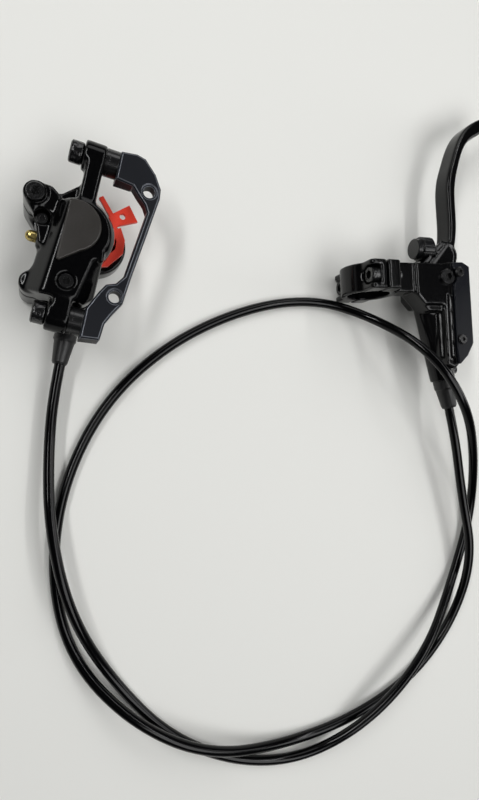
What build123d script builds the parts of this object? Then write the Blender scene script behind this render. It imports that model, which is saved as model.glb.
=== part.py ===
from build123d import *

import os
from math import cos, pi, radians, sin, tan

# Bicycle disc brake lying on a table: caliper with its adapter, hose, and lever.
# The part frame has +Z up, X to the right and Y away, with its origin under the middle.

# Where the caliper and the lever lie, and how far each is turned on the table
CALIPER_AT, CALIPER_TURN = (-109.0, -13.6), -11.65
LEVER_AT, LEVER_TURN = (42.5, -19.7), 3.0

# Fits
RUNNING = 0.05
PAD_GAP = 0.3

# Caliper body
PARTING = 17.0
TOP = 35.5
SLOT_HALF = 1.7
ROTOR_SWEEP = 81.0
ROTOR_CENTRE = (67.5, 0.0)
PISTON_Y = 0.9
TOWER_RADIUS = 15.8
TOWER_CROWN = (13.4, 31.2)
COVER_DISC = (-2.3, 2.2, 11.4)
COVER_TAIL = ((-6.6, 5), (-6.6, -14.2), (-5.4, -14.7), (4.2, -6.8), (0, 2))
POCKET_HALF = (5.6, 13.3)
PLATE_EASE = 0.4
LINING_EASE = 1.0
POCKET_LEFT = -12.5
TAB_WAY = (1.3, 6.9)
EDGE = 0.8

# Pistons, seals and pads
BORE_RADIUS = 11.0
PISTON_LENGTH = 6.75
PISTON_WALL = 2.0
GROOVE_RADIUS = BORE_RADIUS + 1.6
GROOVE_WIDTH = 2.0
GROOVE_BACK = 2.1
CHAMBER = 1.2
PAD_FACE = 1.2
LINING = 2.25
PLATE = 1.8

# Body bolts, pad pin and passages
LOBE_A = (-21.0, 13.3)
LOBE_C = (-14.6, -24.4)
LOBE_RADIUS = 5.2
LOBE_A_TOP = 31.0
FLANK_TOP = 29.6
M5_HEAD, M5_HEIGHT, M5_SHANK, M5_KEY = 4.2, 4.6, 2.5, 4.0
PAD_PIN_AT = (-BORE_RADIUS - 5.0, 4.1)
PAD_PIN_RADIUS = 1.5
PASSAGE_AT = (-15.6, 10.6)
PASSAGE = 0.7
NIPPLE_AT = (-4.2, 24.0)
NIPPLE_TIP = BORE_RADIUS + 2.1
NIPPLE_SEAT = NIPPLE_TIP + 3.5
PLUG_AT = (-0.4, -22.1)

# Ears and post bolts
POST_Y = 37.1
POST_Z = 28.0
EYE_RADIUS = 6.8
EYE_FACES = (-5.5, 4.2)
EYE_SLOT = (9.0, 6.4)
M6_HEAD, M6_HEIGHT, M6_SHANK, M6_KEY = 5.0, 5.8, 3.0, 5.0
WASHER_RADIUS = 6.2

# Adapter
ADAPTER_FACE = 10.0
ADAPTER_PLATE = (28.0, 34.5)
ADAPTER_BLOCK = 21.5
FRAME_HOLE_RADIUS = 2.6
FRAME_SPACING, FRAME_CENTRE, FRAME_LEAN = 51.0, (23.25, 2.25), 5.4

# Hose and its fittings
HOSE_RADIUS = 2.5
HOSE_BORE = 1.15
PORT_RADIUS = 4.0
PORT_DEPTH = 8.0
BARB_FLANGE = 0.8
NUT_THREAD = 4.0
NUT_HEX = (8.0, 5.0)
CALIPER_PORT = (5.0, -39.0, 9.0)
PORT_BOSS = 5.9
CALIPER_BOOT = (5.2, 3.6)
LEVER_BOOT = (5.6, 4.2)
BOOT_LENGTH = 16.0

# Lever clamp on the handlebar
BAR_Z = 20.0
BAR_RADIUS = 11.1
CLAMP_RADIUS = 14.5
CLAMP_HALF_WIDTH = 7.5
CLAMP_GAP = 0.5
CLAMP_BOLT_RISE = 15.25
CLAMP_EAR = 4.75
CLAMP_SEAT = 4.0

# Lever housing, measured from the bar axis
PIVOT = (42.4, 1.3)
PIVOT_BOSS = 7.5
PIVOT_PIN = 3.0
BUSH_RADIUS = 4.0
CHEEK_BOTTOM = 8.0
SLOT = (13.0, 27.0)
MASTER_START = (33.4, 0.0)
MASTER_LEAN = 12.0
MASTER_RADIUS = 6.8
MASTER_BORE = 5.0
MASTER_MOUTH, MASTER_BORE_END, MASTER_END = 8.0, 45.8, 55.0
MASTER_PISTON = (12.0, 34.0)
RESERVOIR_FLOOR = 14.0
RESERVOIR_TOP = 31.4
NECK = (18.0, 30.0)
SHOULDER = ((37.8, 20), (37.8, 27.8), (44.4, 33.2), (44.4, 20))
BLEED_RISE = 7.6
COVER = 2.0
COVER_SCREWS = ((48.5, 3.6), (47.9, -33.0))

# Lever blade
BLADE_ROOT = (13.3, 26.7)
BLADE_FINGER = (14.5, 26.5)
NOSE_AT, NOSE_RADIUS = (33.4, 1.3), 3.0
ADJUSTER_V, ADJUSTER_Z = 19.2, 20.5

# Straight exits of the hose beyond the two ports, and its route between them
CALIPER_EXIT, LEVER_EXIT = 25.0, 27.0
HOSE_ROUTE = [
    (-119.5, -109, 8), (-118.5, -144, 13), (-109.5, -182, 13), (-90.5, -216, 3),
    (-61.5, -249, 2.5), (-24.5, -268, 2.5), (13.5, -272, 2.5), (48.5, -252, 13), (82.5, -222, 13),
    (107.5, -187, 3), (121.5, -151, 2.5), (113.5, -116, 17), (93.5, -86, 36), (70.5, -57, 36),
    (48.5, -35, 9), (17.5, -27, 2.5), (-21.5, -35, 2.5), (-61.5, -55, 2.5), (-93.5, -85, 2.5),
    (-112.5, -124, 2.5), (-117.5, -166, 2.5), (-107.5, -207, 2.5), (-79.5, -236, 13), (-43.5, -256, 13),
    (-1.5, -263, 3), (41.5, -256, 2.5), (79.5, -239, 2.5), (107.5, -210, 3), (114.5, -172, 13),
    (106.5, -136, 14),
]


def frame_at(place, turn):
    """Plane lying on the table, turned about +Z."""
    return Plane(origin=(*place, 0), x_dir=(cos(radians(turn)), sin(radians(turn)), 0), z_dir=(0, 0, 1))


def facing_right(frame, right, away=0, up=0):
    """Plane whose normal is the frame's x; its sketch has y across and z up."""
    origin = frame.from_local_coords((right, away, up))
    return Plane(origin=origin, x_dir=frame.y_dir, z_dir=frame.x_dir)


def facing_front(frame, away, right=0, up=0):
    """Plane whose normal is the frame's -y; its sketch has x across and z up."""
    origin = frame.from_local_coords((right, away, up))
    return Plane(origin=origin, x_dir=frame.x_dir, z_dir=-frame.y_dir)


def half_section(plane):
    """Plane holding a turned profile: x is the radius and y runs along the plane's normal."""
    return Plane(origin=plane.origin, x_dir=plane.x_dir, z_dir=-plane.y_dir)


def rod(frame, start, end, radius, mode=Mode.ADD):
    """Cylinder between two points of a frame, joined to or drilled from the current part."""
    first, last = (frame.from_local_coords(point) for point in (start, end))
    along = last - first
    with Locations(Plane(origin=first, z_dir=along)):
        Cylinder(radius, along.length, align=(Align.CENTER, Align.CENTER, Align.MIN), mode=mode)


def in_bore(across, along, height):
    """Point over the caliper's bore, given from its axis in shares of the bore radius."""
    return across * BORE_RADIUS, PISTON_Y + along * BORE_RADIUS, height


def turned(plane, profile):
    """Solid of revolution about a plane's normal from (radius, height) points."""
    with BuildPart() as body:
        with BuildSketch(half_section(plane)):
            with BuildLine():
                Polyline(*profile, close=True)
            make_face()
        revolve(axis=Axis(plane.origin, plane.z_dir))
    return body


def ring(plane, inner, outer, low, high, ease=0.15):
    """Washer, seal or bush between two heights, with its outer corners eased."""
    return turned(plane, [
        (inner, low), (outer - ease, low), (outer, low + ease),
        (outer, high - ease), (outer - ease, high), (inner, high),
    ])


def socket_screw(seat, head, height, shank, length, key):
    """Socket screw whose head stands on a seat plane and whose shank runs behind it."""
    with BuildPart() as screw:
        with BuildSketch(half_section(seat)):
            with BuildLine():
                Polyline(
                    (0, -length), (shank - 0.5, -length), (shank, 0.5 - length), (shank, 0),
                    (head, 0), (head, height - 0.5), (head - 0.5, height), (0, height), close=True,
                )
            make_face()
        revolve(axis=Axis(seat.origin, seat.z_dir))
        with BuildSketch(seat.offset(height)):
            RegularPolygon(key / 2, 6, major_radius=False)
        extrude(amount=-0.6 * height, mode=Mode.SUBTRACT)
    return screw


SLOPE = (7.2, 9.8)


def slope_plane(start, end):
    """Cross-section at the start of a top edge: x leads out over the slope and y up."""
    first, last = (CALIPER.from_local_coords((*point, TOP)) for point in (start, end))
    along = last - first
    return Plane(origin=first, x_dir=CALIPER.z_dir.cross(along), z_dir=along)


def slope_cut():
    """Section above a slope: down it, and level from its foot."""
    with BuildSketch() as cut:
        with BuildLine():
            Polyline((0, 0), (SLOPE[0], -SLOPE[1]), (30, -SLOPE[1]), (30, 5), (0, 5), close=True)
        make_face()
    return cut.sketch


CALIPER = frame_at(CALIPER_AT, CALIPER_TURN)
LEVER = frame_at(LEVER_AT, LEVER_TURN)
RING_ORIGIN = CALIPER.from_local_coords((0, PISTON_Y, PARTING))
PISTON_AXES = {
    "outer": Plane(origin=RING_ORIGIN, x_dir=CALIPER.x_dir, z_dir=CALIPER.z_dir),
    "inner": Plane(origin=RING_ORIGIN, x_dir=CALIPER.x_dir, z_dir=-CALIPER.z_dir),
}
PAD_BACK = PAD_FACE + LINING + PLATE
BORE_END = PAD_BACK + PISTON_LENGTH + CHAMBER

# Outline of both halves: foot, shoulder to the upper bolt, round tower and the two bolt lobes
with BuildSketch() as half_outline:
    with BuildLine():
        Polyline(
            (12.9, -8.1), (12.8, -25.2), (9, -29.2), (-10.2, -29.9), (-17, -28), (-17, -20.5),
            (-15.3, -16.5), (-15, -11.1), (-16.4, -4.2), (PAD_PIN_AT[0] - 3.8, 4.3), (-25.4, 10.4),
            (-21, 18.5), (-14.8, 18.6), (-8, 13.5), (9, 12), close=True,
        )
    make_face()
    with Locations((0, PISTON_Y)):
        Circle(TOWER_RADIUS)
    with Locations(LOBE_A, LOBE_C):
        Circle(LOBE_RADIUS)

with BuildSketch() as foot_outline:
    with BuildLine():
        Polyline(
            (12.9, -6), (12.8, -25.2), (9, -29.2), (-10.2, -29.9), (-17, -28), (-17, -20.5),
            (-15.3, -16.5), (-15, -11.1), (-12, -6), close=True,
        )
    make_face()

with BuildPart() as outer_half:
    with BuildSketch(CALIPER.offset(PARTING)):
        add(half_outline.sketch)
    extrude(amount=TOP - SLOPE[1] - PARTING)
    with BuildSketch(CALIPER.offset(PARTING)):
        add(foot_outline.sketch)
    extrude(amount=TOP - PARTING)
    with BuildSketch(slope_plane((8.4, -9.3), (5.3, -26.0))):
        add(slope_cut())
    extrude(amount=40, mode=Mode.SUBTRACT)
    # Round tower with its bevelled crown
    with BuildSketch(half_section(PISTON_AXES["outer"])):
        with BuildLine():
            Polyline(
                (0, 0), (TOWER_RADIUS, 0), (TOWER_RADIUS, TOWER_CROWN[1] - PARTING),
                (TOWER_CROWN[0], TOP - PARTING), (0, TOP - PARTING), close=True,
            )
        make_face()
    revolve(axis=Axis(RING_ORIGIN, CALIPER.z_dir))
    with BuildSketch(slope_plane((-9.6, -28.8), (-7.1, 5.3))):
        add(slope_cut())
    extrude(amount=60, both=True, mode=Mode.SUBTRACT)
    # Flank that carries the upper bolt and the pad pin beside the slope
    with BuildSketch(CALIPER.offset(PARTING)):
        with BuildLine():
            Polyline(
                (-16.4, -4.2), (PAD_PIN_AT[0] - 3.8, 4.3), (-25.4, 10.4), (-21, 18.5), (-14.8, 18.6),
                (-8, 13.5), (-6, 5), (-9, -8), (-15.6, -8), close=True,
            )
        make_face()
    extrude(amount=FLANK_TOP - PARTING)
    # Upper bolt lobe, its web towards the ear, and the seat of the bleed nipple
    rod(CALIPER, (*LOBE_A, PARTING), (*LOBE_A, LOBE_A_TOP), LOBE_RADIUS)
    with BuildSketch(CALIPER.offset(PARTING + 2)):
        with BuildLine():
            Polyline((-21, 18), (-10.8, 18.6), (-2.5, 26.5), (0, 22), (-4, 14), (-18, 8), close=True)
        make_face()
    extrude(amount=4.5)
    rod(CALIPER, (-NIPPLE_SEAT, *NIPPLE_AT), (1.1 - NIPPLE_TIP, *NIPPLE_AT), 4.5)
    # Ears with their slotted eyes
    for side, (left, right) in ((1, (-3.4, 4.2)), (-1, (-4.0, 4.0))):
        with BuildSketch(facing_right(CALIPER, left)):
            with BuildLine():
                Polyline(
                    (side * 9, 22.5), (side * 9, 34.8), (side * POST_Y, 34.7),
                    (side * POST_Y, 22.0), close=True,
                )
            make_face()
        extrude(amount=right - left)
        eye = [(face, side * POST_Y, POST_Z) for face in EYE_FACES]
        rod(CALIPER, eye[0], eye[1], EYE_RADIUS)
        with BuildSketch(facing_right(CALIPER, EYE_FACES[0] - 1, side * POST_Y, POST_Z)):
            SlotOverall(*EYE_SLOT, rotation=90)
        extrude(amount=20, mode=Mode.SUBTRACT)
    # Recesses of the plug screw and of the pad pin's head
    rod(CALIPER, (*PLUG_AT, TOP - 3), (*PLUG_AT, TOP + 1), 3.7, Mode.SUBTRACT)
    rod(CALIPER, (*PLUG_AT, TOP - 8.2), (*PLUG_AT, TOP), 2.05, Mode.SUBTRACT)
    rod(CALIPER, (*PAD_PIN_AT, 24.2), (*PAD_PIN_AT, 34), 3.6, Mode.SUBTRACT)
    rod(CALIPER, (*PAD_PIN_AT, 20), (*PAD_PIN_AT, 25), PAD_PIN_RADIUS + RUNNING, Mode.SUBTRACT)
    # Body bolts: a sunk head above, a blind thread below
    rod(CALIPER, (*LOBE_A, PARTING), (*LOBE_A, LOBE_A_TOP), M5_SHANK + RUNNING, Mode.SUBTRACT)
    rod(CALIPER, (*LOBE_A, LOBE_A_TOP - 4), (*LOBE_A, TOP), M5_HEAD + 0.2, Mode.SUBTRACT)
    rod(CALIPER, (*LOBE_C, PARTING), (*LOBE_C, 24), M5_SHANK + RUNNING, Mode.SUBTRACT)
    # Nipple thread and the drilled ways to the chamber
    rod(
        CALIPER, (-NIPPLE_SEAT - 3.4, *NIPPLE_AT), (-NIPPLE_TIP, *NIPPLE_AT), 2.5 + RUNNING,
        Mode.SUBTRACT,
    )
    rod(CALIPER, (-NIPPLE_TIP - 0.3, -4.2, 24.8), in_bore(-0.87273, -0.26364, 29.6), PASSAGE, Mode.SUBTRACT)
    rod(CALIPER, (*PASSAGE_AT, PARTING), (*PASSAGE_AT, 22), PASSAGE, Mode.SUBTRACT)
    rod(CALIPER, (*PASSAGE_AT, 21.6), in_bore(-0.83636, 0.47273, 29.6), PASSAGE, Mode.SUBTRACT)

with BuildPart() as inner_half:
    with BuildSketch(CALIPER):
        add(half_outline.sketch)
    extrude(amount=PARTING)
    chamfer(inner_half.faces().sort_by(Axis.Z)[0].edges(), EDGE)
    # Round heel on the hub side, below the pad pocket
    rod(CALIPER, (9.2, 4.2, 0), (9.2, 4.2, PARTING - POCKET_HALF[0] - 0.4), 14.0)
    rod(CALIPER, CALIPER_PORT, (CALIPER_PORT[0], -22, CALIPER_PORT[2]), PORT_BOSS)
    # Fitting port and its way into the chamber
    port_floor = (CALIPER_PORT[0], CALIPER_PORT[1] + PORT_DEPTH, CALIPER_PORT[2])
    rod(CALIPER, CALIPER_PORT, port_floor, PORT_RADIUS, Mode.SUBTRACT)
    rod(CALIPER, port_floor, in_bore(0.45455, -0.80909, 4.7), PASSAGE, Mode.SUBTRACT)
    # Crossover way with the recess of its seal
    rod(CALIPER, (*PASSAGE_AT, PARTING - 1.3), (*PASSAGE_AT, PARTING + 1), 2.2, Mode.SUBTRACT)
    rod(CALIPER, (*PASSAGE_AT, 12), (*PASSAGE_AT, PARTING), PASSAGE, Mode.SUBTRACT)
    rod(CALIPER, (*PASSAGE_AT, 12.4), in_bore(-0.83636, 0.47273, 4.4), PASSAGE, Mode.SUBTRACT)
    # Body bolts and pad pin
    rod(CALIPER, (*LOBE_A, 4), (*LOBE_A, PARTING), M5_SHANK + RUNNING, Mode.SUBTRACT)
    rod(CALIPER, (*LOBE_C, -1), (*LOBE_C, PARTING), M5_SHANK + RUNNING, Mode.SUBTRACT)
    rod(CALIPER, (*LOBE_C, -1), (*LOBE_C, 5.2), M5_HEAD + 0.2, Mode.SUBTRACT)
    rod(CALIPER, (*PAD_PIN_AT, 6.2), (*PAD_PIN_AT, PARTING), PAD_PIN_RADIUS + RUNNING, Mode.SUBTRACT)

# What both halves have cut from them: rotor slot, pad pocket, way of the pad tabs, bore and groove
for half, (side, axis) in zip((outer_half, inner_half), PISTON_AXES.items()):
    with half:
        rod(
            CALIPER, (*ROTOR_CENTRE, PARTING - SLOT_HALF), (*ROTOR_CENTRE, PARTING + SLOT_HALF),
            ROTOR_SWEEP, Mode.SUBTRACT,
        )
        with BuildSketch(CALIPER.offset(PARTING - POCKET_HALF[0])):
            with Locations((POCKET_LEFT, PISTON_Y)):
                Rectangle(60, 2 * POCKET_HALF[1], align=(Align.MIN, Align.CENTER))
            with Locations((POCKET_LEFT + 1, TAB_WAY[0])):
                Rectangle(30, TAB_WAY[1] - TAB_WAY[0], align=(Align.MAX, Align.MIN))
        extrude(amount=2 * POCKET_HALF[0], mode=Mode.SUBTRACT)
        rod(axis, (0, 0, 0), (0, 0, BORE_END), BORE_RADIUS, Mode.SUBTRACT)
        groove = PAD_BACK + GROOVE_BACK
        rod(axis, (0, 0, groove), (0, 0, groove + GROOVE_WIDTH), GROOVE_RADIUS, Mode.SUBTRACT)

with BuildPart() as cover_plate:
    with BuildSketch(CALIPER.offset(TOP)):
        with Locations(COVER_DISC[:2]):
            Circle(COVER_DISC[2])
        with BuildLine():
            Polyline(*COVER_TAIL, close=True)
        make_face()
        with Locations((COVER_TAIL[0][0], PISTON_Y)):
            Rectangle(20, 40, align=(Align.MAX, Align.CENTER), mode=Mode.SUBTRACT)
    extrude(amount=1.5)
    chamfer(cover_plate.faces().sort_by(Axis.Z)[-1].edges(), 0.5)

lobe_seats = (
    Plane(CALIPER.from_local_coords((*LOBE_A, LOBE_A_TOP - 4)), z_dir=CALIPER.z_dir),
    Plane(CALIPER.from_local_coords((*LOBE_C, 5.2)), z_dir=-CALIPER.z_dir),
)
upper_body_bolt = socket_screw(lobe_seats[0], M5_HEAD, M5_HEIGHT, M5_SHANK, 22, M5_KEY)
lower_body_bolt = socket_screw(lobe_seats[1], M5_HEAD, M5_HEIGHT, M5_SHANK, 18.3, M5_KEY)
with BuildPart() as body_bolts:
    add(upper_body_bolt.part)
    add(lower_body_bolt.part)

plug_seat = Plane(CALIPER.from_local_coords((*PLUG_AT, TOP - 3)), z_dir=CALIPER.z_dir)
passage_plug = socket_screw(plug_seat, 3.4, 2.4, 2.0, 5, 3)
pin_seat = Plane(CALIPER.from_local_coords((*PAD_PIN_AT, 24.2)), z_dir=CALIPER.z_dir)
pad_pin = socket_screw(pin_seat, 2.8, 1.9, PAD_PIN_RADIUS, 17.8, 2.5)

nipple_plane = Plane(
    CALIPER.from_local_coords((-NIPPLE_SEAT, *NIPPLE_AT)), z_dir=-CALIPER.x_dir
)
bleed_nipple = turned(nipple_plane, [
    (0, -3.4), (2.5, -3.4), (2.5, 2.4), (2.3, 3.4), (1.7, 4.3), (0.8, 4.8), (0, 4.8),
])
seal_plane = CALIPER.offset(PARTING)
crossover_plane = Plane(seal_plane.from_local_coords((*PASSAGE_AT, 0)), z_dir=CALIPER.z_dir)
crossover_seal = ring(crossover_plane, 0.8, 2.15, -1.3, 0, ease=0.4)

# Pistons, seals and pads, one of each on either side of the rotor
pistons, piston_seals, pad_plates, pad_linings = {}, {}, {}, {}
for side, axis in PISTON_AXES.items():
    back = PAD_BACK
    top = PAD_BACK + PISTON_LENGTH
    pistons[side] = turned(axis, [
        (0, top), (BORE_RADIUS - RUNNING - 0.5, top), (BORE_RADIUS - RUNNING, top - 0.5),
        (BORE_RADIUS - RUNNING, back), (BORE_RADIUS - PISTON_WALL, back),
        (BORE_RADIUS - PISTON_WALL, top - 2), (0, top - 2),
    ])
    groove = back + GROOVE_BACK
    piston_seals[side] = ring(
        axis, BORE_RADIUS, GROOVE_RADIUS - RUNNING, groove + RUNNING, groove + GROOVE_WIDTH - RUNNING
    )
    up = 1 if side == "outer" else -1
    with BuildPart() as lining:
        with BuildSketch(CALIPER.offset(PARTING + up * PAD_FACE)):
            with Locations((0, PISTON_Y)):
                RectangleRounded(23.2, 2 * (POCKET_HALF[1] - LINING_EASE), 3.5)
        extrude(amount=up * LINING)
        with BuildSketch(CALIPER.offset(PARTING + up * PAD_FACE)):
            with Locations((0, PISTON_Y)):
                Rectangle(30, 1.2)
        extrude(amount=up * 1.2, mode=Mode.SUBTRACT)
    with BuildPart() as plate:
        with BuildSketch(CALIPER.offset(PARTING + up * (PAD_FACE + LINING))):
            with Locations((0.2, PISTON_Y)):
                RectangleRounded(24.4, 2 * (POCKET_HALF[1] - PLATE_EASE), 3)
            with Locations((-10, 4.1)):
                Rectangle(-PAD_PIN_AT[0] - 7.2, 5, align=(Align.MAX, Align.CENTER))
            with Locations(PAD_PIN_AT):
                Circle(PAD_PIN_RADIUS + 0.15, mode=Mode.SUBTRACT)
        extrude(amount=up * PLATE)
    pad_linings[side], pad_plates[side] = lining, plate

# Leaf spring that keeps the pads apart, threaded on the pad pin
LEAF = 0.4
leaf_rise = PAD_FACE + LINING - PAD_GAP
with BuildPart() as pad_spring:
    with BuildSketch(facing_front(CALIPER, PAD_PIN_AT[1] + 2, up=PARTING)):
        with Locations((PAD_PIN_AT[0] + 3.1, 0)):
            Rectangle(6, 2 * leaf_rise, align=(Align.MAX, Align.CENTER))
            Rectangle(
                6 - LEAF, 2 * (leaf_rise - LEAF), align=(Align.MAX, Align.CENTER), mode=Mode.SUBTRACT
            )
    extrude(amount=4)
    rod(CALIPER, (*PAD_PIN_AT, 10), (*PAD_PIN_AT, 24), PAD_PIN_RADIUS + 0.1, Mode.SUBTRACT)

# Spacer that stands in for the rotor: tongue between the pads, neck, pull tab, arm and hook
SPACER = 1.8
with BuildPart() as pad_spacer:
    with BuildSketch(CALIPER.offset(PARTING - SPACER / 2)):
        with Locations((-10.5, PISTON_Y)):
            Rectangle(23, 19, align=(Align.MIN, Align.CENTER))
        with BuildLine():
            Polyline(
                (9, 0), (16.8, 5), (16.4, 13.8), (25, 18.6), (19.6, 25.2), (12.3, 18.2), (8, 10),
                close=True,
            )
        make_face()
        with BuildLine():
            Polyline((6.2, 25), (15, 15.5))
        trace(line_width=2.2)
        with BuildLine():
            Polyline((16.4, 12.5), (19.3, 7.5), (19.6, 2.2), (14.8, -4.6), (9, -6.5))
        trace(line_width=3.8)
        with Locations((17.7, 18.9)):
            Circle(1.4, mode=Mode.SUBTRACT)
    extrude(amount=SPACER)

# Adapter between the fork and the caliper's two posts
with BuildPart() as mount_adapter:
    with BuildSketch(CALIPER.offset(ADAPTER_PLATE[0])):
        with BuildLine():
            Polyline(
                (10, 41.8), (17, 42.9), (21.1, 42), (26.9, 36.5), (30.6, 30.5), (31, 25.9), (27.7, 0.2),
                (26.1, -13.5), (24.9, -25.3), (21.7, -30.8), (19.2, -36), (18.6, -43.6), (10, -44.6),
                (10, -31), (14, -22.3), (16.1, -18.7), (20.1, -17.1), (23, -12.9), (24, -4),
                (26.6, 18), (24.7, 21.3), (20.9, 24.8), (18, 27.8), (10, 28.6), close=True,
            )
        make_face()
    extrude(amount=ADAPTER_PLATE[1] - ADAPTER_PLATE[0])
    chamfer(mount_adapter.faces().sort_by(Axis.Z)[-1].edges(), EDGE)
    with BuildSketch(CALIPER.offset(ADAPTER_BLOCK)):
        with BuildLine():
            Polyline((10, 30), (10, 41.8), (17, 42.9), (21.1, 42), (22, 32), (18, 30), close=True)
        make_face()
        with BuildLine():
            Polyline((10, -31), (10, -44.6), (18.6, -43.6), (19.2, -36), (17, -31), close=True)
        make_face()
    extrude(amount=ADAPTER_PLATE[0] - ADAPTER_BLOCK)
    for side in (1, -1):
        hole = [(x, side * POST_Y, POST_Z) for x in (ADAPTER_FACE - 1, 20.0)]
        rod(CALIPER, hole[0], hole[1], M6_SHANK + RUNNING, Mode.SUBTRACT)
    for side in (1, -1):
        reach = side * FRAME_SPACING / 2
        place = (
            FRAME_CENTRE[0] + reach * sin(radians(FRAME_LEAN)),
            FRAME_CENTRE[1] + reach * cos(radians(FRAME_LEAN)),
        )
        rod(CALIPER, (*place, 20), (*place, 40), FRAME_HOLE_RADIUS, Mode.SUBTRACT)
        rod(CALIPER, (*place, ADAPTER_PLATE[1] - 0.6), (*place, 40), FRAME_HOLE_RADIUS + 1, Mode.SUBTRACT)

# Post bolts with their pairs of spherical washers
post_seats = [
    Plane(CALIPER.from_local_coords((EYE_FACES[0], side * POST_Y, POST_Z)), z_dir=-CALIPER.x_dir)
    for side in (1, -1)
]
post_screws = [
    socket_screw(seat, M6_HEAD, M6_HEIGHT, M6_SHANK, 24.0, M6_KEY).part for seat in post_seats
]
with BuildPart() as mount_bolts:
    add(post_screws)

WASHER_BORE = M6_SHANK + 0.2
WASHER_EDGE, WASHER_CREST, WASHER_STACK = 1.5, 3.0, ADAPTER_FACE - EYE_FACES[1]
washer_halves = {"convex": (0, 0), "concave": (WASHER_STACK, WASHER_STACK)}
washers = {}
for kind, (rim, bore_end) in washer_halves.items():
    with BuildPart() as washer_pair:
        for side in (1, -1):
            base = facing_right(CALIPER, EYE_FACES[1], side * POST_Y, POST_Z)
            with BuildSketch(half_section(base)):
                with BuildLine():
                    Polyline((WASHER_BORE, WASHER_CREST), (WASHER_BORE, bore_end), (WASHER_RADIUS, rim),
                             (WASHER_RADIUS, WASHER_EDGE))
                    RadiusArc((WASHER_RADIUS, WASHER_EDGE), (WASHER_BORE, WASHER_CREST), -8)
                make_face()
            revolve(axis=Axis(base.origin, base.z_dir))
    washers[kind] = washer_pair

# Hose fittings, the same at both ends: nut, olive, barb and a rubber boot over them
master_lean = radians(MASTER_LEAN)
MASTER = Plane(
    origin=LEVER.from_local_coords((*MASTER_START, BAR_Z)),
    x_dir=LEVER.x_dir * cos(master_lean) + LEVER.y_dir * sin(master_lean),
    z_dir=LEVER.x_dir * sin(master_lean) - LEVER.y_dir * cos(master_lean),
)
PORTS = {
    "caliper": Plane(CALIPER.from_local_coords(CALIPER_PORT), x_dir=CALIPER.x_dir, z_dir=-CALIPER.y_dir),
    "lever": MASTER.offset(MASTER_END),
}
BOOTS = {"caliper": CALIPER_BOOT, "lever": LEVER_BOOT}
HOSE_START = BARB_FLANGE - PORT_DEPTH
NUT_BORE = HOSE_RADIUS + 0.1
nuts, olives, barbs, boots = {}, {}, {}, {}
for end, port in PORTS.items():
    with BuildPart() as nut:
        with BuildSketch(port.offset(-NUT_THREAD)):
            Circle(PORT_RADIUS - RUNNING)
        extrude(amount=NUT_THREAD)
        with BuildSketch(port):
            RegularPolygon(NUT_HEX[0] / 2, 6, major_radius=False)
        extrude(amount=NUT_HEX[1])
        with BuildSketch(port.offset(-NUT_THREAD)):
            Circle(NUT_BORE)
        extrude(amount=NUT_THREAD + NUT_HEX[1], mode=Mode.SUBTRACT)
    nuts[end] = nut
    olives[end] = turned(port, [
        (HOSE_RADIUS + RUNNING, -6.8), (2.9, -6.8), (3.6, -5.6), (3.6, -5.2), (2.9, -NUT_THREAD),
        (HOSE_RADIUS + RUNNING, -NUT_THREAD),
    ])
    barbs[end] = turned(port, [
        (0.5, -PORT_DEPTH), (2.3, -PORT_DEPTH), (2.3, HOSE_START), (HOSE_BORE - RUNNING, HOSE_START),
        (HOSE_BORE - RUNNING, 2), (0.8, 3), (0.5, 3),
    ])
    base, mouth = BOOTS[end]
    boots[end] = turned(port, [
        (4.7, 0), (base, 0), (base, 4.5), (base - 0.5, 5.5), (mouth, BOOT_LENGTH - 1),
        (mouth - 0.5, BOOT_LENGTH), (HOSE_RADIUS + 0.15, BOOT_LENGTH), (HOSE_RADIUS + 0.15, NUT_HEX[1] + 1),
        (4.7, NUT_HEX[1] + 0.3),
    ])

hose_points = [
    PORTS["caliper"].from_local_coords((0, 0, HOSE_START)),
    PORTS["caliper"].from_local_coords((0, 0, CALIPER_EXIT)),
    *(Vector(point) for point in HOSE_ROUTE),
    PORTS["lever"].from_local_coords((0, 0, LEVER_EXIT)),
    PORTS["lever"].from_local_coords((0, 0, HOSE_START)),
]
hose_radii = []
for before, corner, after in zip(hose_points, hose_points[1:], hose_points[2:]):
    turn = radians((corner - before).get_angle(after - corner))
    run = min((corner - before).length, (after - corner).length)
    hose_radii.append(0.45 * run / tan(turn / 2))
with BuildPart() as hose:
    with BuildLine() as hose_line:
        FilletPolyline(*hose_points, radius=hose_radii)
    with BuildSketch(Plane(hose_points[0], z_dir=hose_points[1] - hose_points[0])):
        Circle(HOSE_RADIUS)
        Circle(HOSE_BORE, mode=Mode.SUBTRACT)
    sweep()

hose_length = hose_line.wires()[0].length
hose_section = pi * (HOSE_RADIUS ** 2 - HOSE_BORE ** 2)
print("hose length", round(hose_length, 1), "volume over section times length",
      round(hose.part.volume / (hose_section * hose_length), 4))
print("hose radii", [round(radius) for radius in hose_radii])

# Lever clamp: body half, cap and the two bolts that draw them together round the bar
clamp_front = facing_front(LEVER, CLAMP_HALF_WIDTH, up=BAR_Z)
clamp_width = 2 * CLAMP_HALF_WIDTH


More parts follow.
